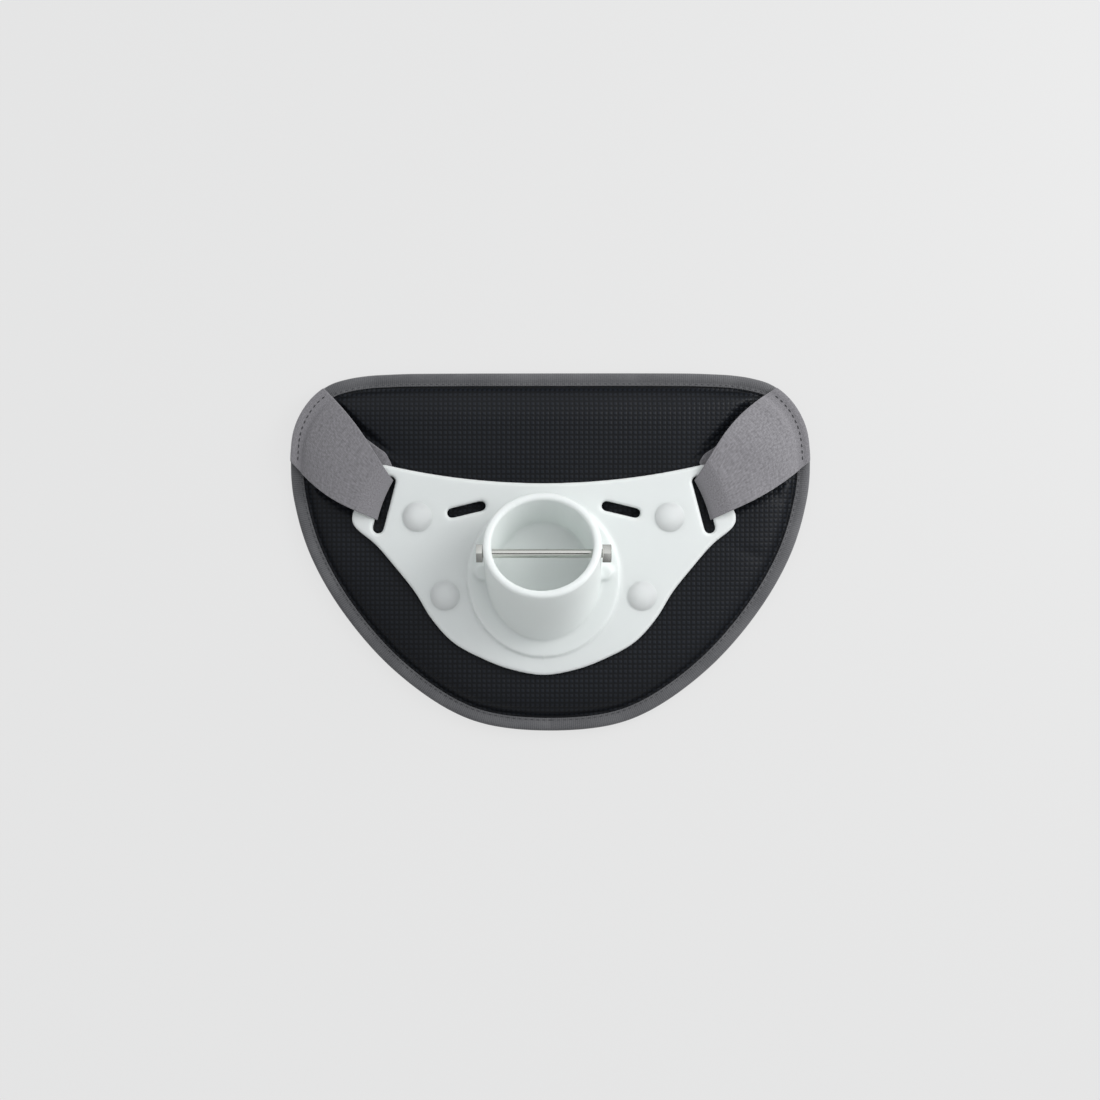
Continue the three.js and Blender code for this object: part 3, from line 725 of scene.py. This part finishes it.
def makeBand(word, rule):
    lines = [bandLine(rule, k / band["across"]) for k in range(band["across"] + 1)]
    last = len(lines[0]) - 1
    strip = gridSkin("band" + word, band["across"], last,
                     lambda u, v: lines[round(u * band["across"])][round(v * last)])
    middle = lines[band["across"] // 2]
    length = sum((b - a).length for a, b in zip(middle, middle[1:]))
    scaleUV(strip, band["weaveWidth"] * mm, length)
    pick(strip)
    bpy.ops.object.mode_set(mode="EDIT")
    bpy.ops.mesh.select_all(action="SELECT")
    bpy.ops.mesh.normals_make_consistent(inside=False)
    bpy.ops.object.mode_set(mode="OBJECT")
    area = sum(p.area for p in strip.data.polygons)
    wall = strip.modifiers.new("wall", "SOLIDIFY")
    wall.thickness, wall.offset = band["thickness"] * band["wallShare"] * mm, 0
    roundEdges(strip, band["edgeRound"], 2, 60)
    subdivide(strip)
    applyAll(strip)
    closeUp(strip)
    smoothShade(strip, 70)
    dress(strip, materials["band"])
    return strip, area, length


for word, rule in bandSides.items():
    strip, area, length = makeBand(word, rule)
    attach(strip, "root")
    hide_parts("strap_left" if word == "Left" else "strap_right")
    print("band", word, "flat", round(length / mm), "mm long, area", round(area * 1e6), "mm2")


# Moulding: bowed plate, raised oval base, tilted cup and two lugs, in one piece

plateCurve = [
    (0.171, -0.948), (0.312, -0.852), (0.47, -0.695), (0.585, -0.468), (0.671, -0.215),
    (0.77, 0.011), (0.876, 0.233), (0.962, 0.36)]
plateCorners = [  # where each rounded stretch ends and the handle that it bends towards
    ((0.989, 0.562), (1.023, 0.451)), ((0.864, 0.962), (0.927, 0.762)),
    ((0.819, 0.99), (0.848, 1.012)), ((0, 0.817), (0.41, 0.817))]
cup = {
    "floorY": -13.8, "floorZ": 17.0, "tilt": 27.5, "length": 39.3, "bore": 54, "floorBore": 52,
    "wall": 4.5, "rimRound": 1.3, "steps": 160, "baseWidth": 82.6, "baseLength": 86,
    "baseRise": 1.8, "lugLength": 9, "lugReach": 6.2, "lugRise": 2.6, "lugY": -10.5,
    "lugRound": 1.3, "sunk": 0.5,
}
slots = {
    "outer": {"length": 32, "width": 5.9, "x": 86.9, "y": 25.7, "turn": 104.6},
    "inner": {"length": 21.5, "width": 5.2, "x": 42, "y": 23.1, "turn": -13.5},
    "flare": 0.7, "flareLift": 0.15,
}
pin = {
    "diameter": 4.8, "depth": 11, "headThickness": 3.3, "acrossFlats": 9.5, "nutThickness": 4.8,
    "headRound": 0.35, "endRound": 0.4, "nutRound": 0.25, "chamfer": 0.75,
}
rivet = {
    "places": {
        "upper_left": (-0.656, 0.498), "upper_right": (0.656, 0.498),
        "lower_left": (-0.513, -0.248), "lower_right": (0.513, -0.248)},
    "cap": 16, "gap": 0.08, "edge": 0.3, "height": 1.9, "shank": 5, "shankRound": 0.4,
    "inPad": 6, "steps": 72,
}
cupAxis = Vector((0, math.sin(math.radians(cup["tilt"])), math.cos(math.radians(cup["tilt"]))))
cupFloor = Vector((plate["x"], cup["floorY"], cup["floorZ"]))
cupPlace = Matrix.Translation(cupFloor * mm) @ Matrix.Rotation(-math.radians(cup["tilt"]), 4, "X")
cupOuter = cup["bore"] / 2 + cup["wall"]
pinPlace = cupFloor + cupAxis * (cup["length"] - pin["depth"])
pinTurn = Matrix.Translation(pinPlace * mm) @ Matrix.Rotation(math.pi / 2, 4, "Y")


def cutBelow(obj, level):
    pick(obj)
    bpy.ops.object.mode_set(mode="EDIT")
    bpy.ops.mesh.select_all(action="SELECT")
    bpy.ops.mesh.bisect(
        plane_co=(0, 0, level * mm), plane_no=(0, 0, 1), use_fill=True, clear_inner=True)
    bpy.ops.object.mode_set(mode="OBJECT")


def joined(obj, other, operation):  # a boolean with a shape that is then deleted
    pick(obj)
    step = obj.modifiers.new(operation, "BOOLEAN")
    step.operation, step.object, step.solver = operation, other, "MANIFOLD"
    bpy.ops.object.modifier_apply(modifier=step.name)
    bpy.data.objects.remove(other)


def plateOutline():
    def at(across, up):
        return Vector((across * plate["width"] / 2, plate["y"] + up * plate["height"] / 2, 0)) * mm
    right = [at(*row) for row in plateCurve]
    lower = [Vector((-p.x, p.y, 0)) for p in reversed(right)] + [at(0, -1)] + right
    line = openSpline(lower, 10)
    here = right[-1]
    corner = []
    for end, handle in plateCorners:
        end, handle = at(*end), at(*handle)
        for k in range(1, 13):
            t = k / 12
            corner.append(here.lerp(handle, t).lerp(handle.lerp(end, t), t))
        here = end
    line += corner + [Vector((-p.x, p.y, 0)) for p in reversed(corner[:-1])]
    line = evenly(line + line[:1], 300)[:-1]
    return [p + Vector((plate["x"] * mm, 0, 0)) for p in line]


def plateSheet():
    outline = plateOutline()
    bpy.ops.object.select_all(action="DESELECT")
    bpy.ops.mesh.primitive_circle_add(vertices=len(outline), fill_type="NGON")
    sheet = added("plateMoulding")
    for vertex, point in zip(sheet.data.vertices, outline):
        vertex.co = point
    bpy.ops.object.mode_set(mode="EDIT")
    bpy.ops.mesh.select_all(action="SELECT")
    bpy.ops.mesh.extrude_region_move(
        TRANSFORM_OT_translate={"value": (0, 0, plate["thickness"] * mm)})
    bpy.ops.mesh.select_all(action="SELECT")
    bpy.ops.mesh.normals_make_consistent(inside=False)
    bpy.ops.mesh.select_all(action="DESELECT")
    bpy.ops.mesh.edges_select_sharp(sharpness=math.radians(60))
    bpy.ops.mesh.bevel(offset=plate["edgeRound"] * mm, segments=4, clamp_overlap=False)
    for k in range(1, plate["bowSteps"]):
        x = plate["x"] + plate["width"] * (k / plate["bowSteps"] - 0.5)
        bpy.ops.mesh.select_all(action="SELECT")
        bpy.ops.mesh.bisect(plane_co=(x * mm, 0, 0), plane_no=(1, 0, 0))
    bpy.ops.object.mode_set(mode="OBJECT")
    for vertex in sheet.data.vertices:
        vertex.co.z += plateBack(vertex.co.x / mm) * mm
    return sheet


def arc(radius, height, corner, inwards):  # a quarter round of a rim, from its side to its top
    points = []
    for k in range(7):
        turn = k / 6 * math.pi / 2
        points.append((radius - inwards * corner * (1 - math.cos(turn)),
                       height - corner * (1 - math.sin(turn))))
    return points


def capsule(name, length, width, low, high, flare=0):  # an upright peg with a slot's section
    peg = cylinder(name, 48, width / 2, low, high)
    reach = (length - width) / 2 * mm
    for vertex in peg.data.vertices:
        vertex.co.x += reach if vertex.co.x > 1e-7 else -reach
        if flare and vertex.co.z > (low + high) / 2 * mm:
            out = Vector((vertex.co.x - math.copysign(reach, vertex.co.x), vertex.co.y, 0))
            vertex.co += out.normalized() * flare * mm
    return peg


def slotCut(kind, side):  # a straight cutter, and one that flares the slot's front edge
    rule, flare, lift = slots[kind], slots["flare"], slots["flareLift"]
    x = plate["x"] + side * rule["x"]
    front = plateBack(x) + plate["thickness"]
    straight = capsule("slotCut", rule["length"], rule["width"], 5, 25)
    flared = capsule("slotFlare", rule["length"], rule["width"], front - 2 * flare + lift,
                     front + 2 * flare + lift, 2.4 * flare)
    turn = rule["turn"] if side > 0 else 180 - rule["turn"]
    spot = Matrix.Translation((x * mm, rule["y"] * mm, 0)) @ Matrix.Rotation(
        math.radians(turn), 4, "Z")
    straight.data.transform(spot)
    flared.data.transform(spot)
    return straight, flared


def rivetPlace(spot):
    across, up = rivet["places"][spot]
    off = across * plate["width"] / 2
    slope = 2 * plate["bow"] * off / (plate["width"] / 2) ** 2
    x, y = plate["x"] + off, plate["y"] + up * plate["height"] / 2
    z = plateBack(x) + plate["thickness"]
    return Matrix.Translation(Vector((x, y, z)) * mm) @ Matrix.Rotation(math.atan(slope), 4, "Y")


def makePlate():
    sheet = plateSheet()
    root = plate["back"] + plate["thickness"] / 2
    baseTop = plate["back"] + plate["thickness"] + cup["baseRise"]
    middle = Matrix.Translation(Vector((plate["x"], cup["floorY"], 0)) * mm)
    oval = Matrix.Diagonal((cup["baseWidth"] / 2, cup["baseLength"] / 2, 1, 1))
    joined(sheet, cylinder("ovalBase", cup["steps"], 1, root, baseTop, middle @ oval), "UNION")
    for side in (-1, 1):
        lug = capsule("lug", 2 * (cup["lugReach"] + cup["wall"]), cup["lugLength"], root,
                      baseTop + cup["lugRise"])
        pick(lug)
        bpy.ops.object.mode_set(mode="EDIT")
        bpy.ops.mesh.select_all(action="DESELECT")
        bpy.ops.mesh.edges_select_sharp(sharpness=math.radians(60))
        bpy.ops.mesh.bevel(offset=cup["lugRound"] * mm, segments=4, clamp_overlap=False)
        bpy.ops.object.mode_set(mode="OBJECT")
        lug.data.transform(Matrix.Translation((
            (plate["x"] + side * (cupOuter - cup["wall"])) * mm, cup["lugY"] * mm, 0)))
        joined(sheet, lug, "UNION")
    deep = -cup["bore"] / 2
    rim = arc(cupOuter, cup["length"], cup["rimRound"], 1)
    buried = cupOuter - cup["sunk"]
    tube = turned("tube", [(0, deep), (buried, deep), (buried, 0)] + rim + [
        (0, cup["length"])], cup["steps"], cupPlace)
    cutBelow(tube, root)
    joined(sheet, tube, "UNION")
    inner = arc(cup["bore"] / 2, cup["length"], cup["rimRound"], -1)
    above = cup["length"] + 5
    well = cup["floorBore"] / 2
    hollow = turned("hollow", [(0, deep), (well, deep), (well, 0)] + inner + [
        (inner[-1][0], above), (0, above)], cup["steps"], cupPlace)
    cutBelow(hollow, cup["floorZ"])
    joined(sheet, hollow, "DIFFERENCE")
    for kind in ("outer", "inner"):
        for side in (-1, 1):
            for cutter in slotCut(kind, side):
                joined(sheet, cutter, "DIFFERENCE")
    for spot in rivet["places"]:
        hole = cylinder("rivetHole", 32, rivet["shank"] / 2 + belt["clearance"], -8, 8,
                        rivetPlace(spot))
        joined(sheet, hole, "DIFFERENCE")
    reach = 1.2 * cupOuter
    hole = cylinder("pinHole", 48, pin["diameter"] / 2 + belt["clearance"], -reach, reach, pinTurn)
    joined(sheet, hole, "DIFFERENCE")
    # One even skin over everything gives the small soft radii of a moulding.
    skin = sheet.modifiers.new("skin", "REMESH")
    skin.mode, skin.voxel_size = "VOXEL", plate["voxel"] * mm
    soften = sheet.modifiers.new("soften", "SMOOTH")
    soften.factor, soften.iterations = 0.5, plate["smoothing"]
    applyAll(sheet)
    smoothShade(sheet, 180)
    dress(sheet, materials["plastic"])
    return sheet


plateMoulding = makePlate()
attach(plateMoulding, "root")
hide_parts("gimbal_plate")
print("moulding made:", len(plateMoulding.data.polygons), "faces")


# Rivets

def makeRivet():
    cap, shank, soft = rivet["cap"] / 2, rivet["shank"] / 2, rivet["shankRound"]
    gap, edge = rivet["gap"], rivet["edge"]
    low = -plate["thickness"] - gap - rivet["inPad"]
    profile = [(0, low), (shank - soft, low), (shank, low + soft), (shank, gap), (cap - edge, gap)]
    for k in range(13):  # a low dome that meets its edge at a slant
        share = 1 - k / 12
        rise = (rivet["height"] - edge) * (1 - share ** 2)
        profile.append((cap * share, gap + edge + rise))
    return turned("rivetCap", profile, rivet["steps"])


rivetModel = makeRivet()
smoothShade(rivetModel, 50)
dress(rivetModel, materials["plastic"])
for spot in rivet["places"]:
    copy = rivetModel.copy()
    copy.data = rivetModel.data.copy()
    copy.name = copy.data.name = "rivetCap_" + spot
    bpy.context.collection.objects.link(copy)
    copy.data.transform(rivetPlace(spot))
    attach(copy, "root")
    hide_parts("rivet_" + spot)
bpy.data.objects.remove(rivetModel)
print("rivets copied")


# Cross pin with its head, and the lock nut

pinFace = cupOuter + belt["clearance"]
hexCorner = pin["acrossFlats"] / 2 / math.cos(math.pi / 6)


def hexBlock(name, start, end):  # a hexagon bar along X, with a corner to the front
    return cylinder(name, 6, hexCorner, start, end, pinTurn @ Matrix.Rotation(math.pi / 2, 4, "Z"))


def makePin():
    end = cupOuter + pin["nutThickness"]
    head = hexBlock("crossPin", -pinFace - pin["headThickness"], -pinFace)
    r, soft = pin["diameter"] / 2, pin["endRound"]
    inHead = -pinFace - 1
    shank = turned("shank", [(0, inHead), (r, inHead), (r, end - soft), (r - soft, end), (0, end)],
                   48, pinTurn)
    joined(head, shank, "UNION")
    roundEdges(head, pin["headRound"], 3, 35)
    applyAll(head)
    smoothShade(head, 35)
    dress(head, materials["steel"])
    return head


def makeNut():
    end = pinFace + pin["nutThickness"]
    nut = hexBlock("lockNut", pinFace, end)
    beyond, flatEnd = hexCorner + 0.1, hexCorner - pin["chamfer"]
    crown = turned("crown", [  # turns the corners off the hexagon's outer end
        (0, pinFace - 1), (hexCorner + 1, pinFace - 1), (beyond, pinFace),
        (beyond, end - 0.58 * pin["chamfer"]), (flatEnd, end), (0, end)], 64, pinTurn)
    joined(nut, crown, "INTERSECT")
    hole = cylinder("nutHole", 48, pin["diameter"] / 2 + belt["clearance"],
                    pinFace - 10, pinFace + 10, pinTurn)
    joined(nut, hole, "DIFFERENCE")
    roundEdges(nut, pin["nutRound"], 2, 25)
    applyAll(nut)
    smoothShade(nut, 35)
    dress(nut, materials["steel"])
    return nut


crossPin = makePin()
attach(crossPin, "root")
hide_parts("cross_bolt")
lockNut = makeNut()
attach(lockNut, "root")
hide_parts("lock_nut")
print("pin and nut made")


# Stitches: one is modelled, repeated along its seam and bent to it

stitch = {
    "length": 2.1, "width": 0.6, "height": 0.5, "tapePoints": 800, "bandPoints": 61,
    "bandPitch": 3.4, "bandInset": 4.2, "bandFrom": 0.03, "sunk": 0.28,
}


def stitchRow(name, points, pitch, material, closed=False):
    curve = bpy.data.curves.new(name + "Path", "CURVE")
    curve.dimensions, curve.twist_mode = "3D", "Z_UP"
    line = curve.splines.new("POLY")
    line.points.add(len(points) - 1)
    for spot, point in zip(line.points, points):
        spot.co = (*point, 1)
    line.use_cyclic_u = closed
    path = bpy.data.objects.new(name + "Path", curve)
    bpy.context.collection.objects.link(path)
    bpy.ops.object.select_all(action="DESELECT")
    bpy.ops.mesh.primitive_uv_sphere_add(segments=8, ring_count=5, radius=0.5)
    row = added(name)
    sizes = [stitch[key] * mm for key in ("length", "width", "height")]
    row.data.transform(Matrix.Diagonal((*sizes, 1)))
    row.data.transform(Matrix.Translation((pitch * mm / 2, 0, 0)))
    repeat = row.modifiers.new("repeat", "ARRAY")
    repeat.fit_type, repeat.curve = "FIT_CURVE", path
    repeat.use_relative_offset, repeat.use_constant_offset = False, True
    repeat.constant_offset_displace = (pitch * mm, 0, 0)
    bend = row.modifiers.new("bend", "CURVE")
    bend.object, bend.deform_axis = path, "POS_X"
    applyAll(row)
    bpy.data.objects.remove(path)
    smoothShade(row, 60)
    dress(row, material)
    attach(row, "root")
    return row


tapePath = [onLoop(i / stitch["tapePoints"], tape["stitchInset"], tape["stitchHeight"])
            for i in range(stitch["tapePoints"])]
tapeStitches = stitchRow(
    "tapeStitches", tapePath, tape["stitchPitch"], materials["tapeThread"], True)
for word, rule in bandSides.items():
    seam = []
    height = band["sewn"] + 2 * band["thickness"] - stitch["sunk"]
    for k in range(stitch["bandPoints"]):
        part = k / (stitch["bandPoints"] - 1)
        part = stitch["bandFrom"] + (1 - 2 * stitch["bandFrom"]) * part
        share = bandTopShare + (bandBottomShare - bandTopShare) * part
        point = onLoop(share, band["endInset"] + stitch["bandInset"], height)
        point.x *= rule["side"]
        seam.append(point)
    row = stitchRow("band" + word + "Stitches", seam, stitch["bandPitch"], materials["bandThread"])
print("stitches sewn")


# Stage, light and camera

stage = {
    "floor": "#4c4c4c", "glow": 0.9, "glowColour": "#e6e6e6", "floorSize": 6000,
    "floorZ": -0.3, "cameraHeight": 1200, "cameraX": 22, "cameraY": 1.1, "pixel": 0.55,
    "image": 1100, "sensor": 36, "nearest": 10, "furthest": 20000,
}
keyLight = {"place": (600, 320, 420), "size": 400, "power": 3.2}
# Each row gives where a change of the light starts and ends, and how bright it is there.
tent = {
    "colour": "#f2f4f6", "rise": (0.0, 0.85, 0.3, 1.08), "gap": (0.94, 0.97, 1.0, 0.03),
    "side": (-1.4, 1.4, 0.5, 1.45), "sideTurn": 1.5,
}

bpy.ops.object.select_all(action="DESELECT")
bpy.ops.mesh.primitive_plane_add(
    size=stage["floorSize"] * mm, location=(0, 0, stage["floorZ"] * mm))
floor = added("paleFloor")
# Pale paper lit evenly from below, so that no hard shadow falls on it.
floorMaterial, floorTree, floorShader = newMaterial(
    "palePaper", 0.9, 1.45, stage["floor"], Emission_Strength=stage["glow"])
floorShader.inputs["Emission Color"].default_value = toLinear(stage["glowColour"])
dress(floor, floorMaterial)

lamp = bpy.data.lights.new("keyLight", "AREA")
lamp.shape, lamp.size, lamp.energy = "SQUARE", keyLight["size"] * mm, keyLight["power"]
light = bpy.data.objects.new("keyLight", lamp)
light.location = Vector(keyLight["place"]) * mm
light.rotation_euler = (-light.location).to_track_quat("-Z", "Y").to_euler()
bpy.context.collection.objects.link(light)

world = bpy.data.worlds.new("studio")
bpy.context.scene.world = world
world.use_nodes = True
worldTree = world.node_tree
toSky = addNode(worldTree, "ShaderNodeTexCoord").outputs["Generated"]
sky = addNode(worldTree, "ShaderNodeSeparateXYZ", {}, {0: toSky}).outputs


def tentPart(value, key):
    start, end, low, high = tent[key]
    return ramp(worldTree, value, low, high, start, end)


# A white tent, darker low down and on the far side, with a dark gap where the camera looks in.
toKey = reckon(worldTree, "MULTIPLY_ADD", sky["Y"], tent["sideTurn"], sky["X"])
level = reckon(worldTree, "MULTIPLY", tentPart(sky["Z"], "rise"), tentPart(sky["Z"], "gap"))
level = reckon(worldTree, "MULTIPLY", level, tentPart(toKey, "side"))
background = worldTree.nodes["Background"]
background.inputs["Color"].default_value = toLinear(tent["colour"])
worldTree.links.new(level, background.inputs["Strength"])

cameraData = bpy.data.cameras.new("camera")
camera = bpy.data.objects.new("camera", cameraData)
bpy.context.collection.objects.link(camera)
camera.location = Vector((stage["cameraX"], stage["cameraY"], stage["cameraHeight"])) * mm
camera.rotation_euler = (0, math.atan(stage["cameraX"] / stage["cameraHeight"]), 0)
cameraData.sensor_width = stage["sensor"]
cameraData.lens = stage["sensor"] * stage["cameraHeight"] / (stage["image"] * stage["pixel"])
cameraData.clip_start, cameraData.clip_end = stage["nearest"] * mm, stage["furthest"] * mm
bpy.context.scene.camera = camera
bpy.context.scene.view_settings.view_transform = "Standard"
print("stage lit")
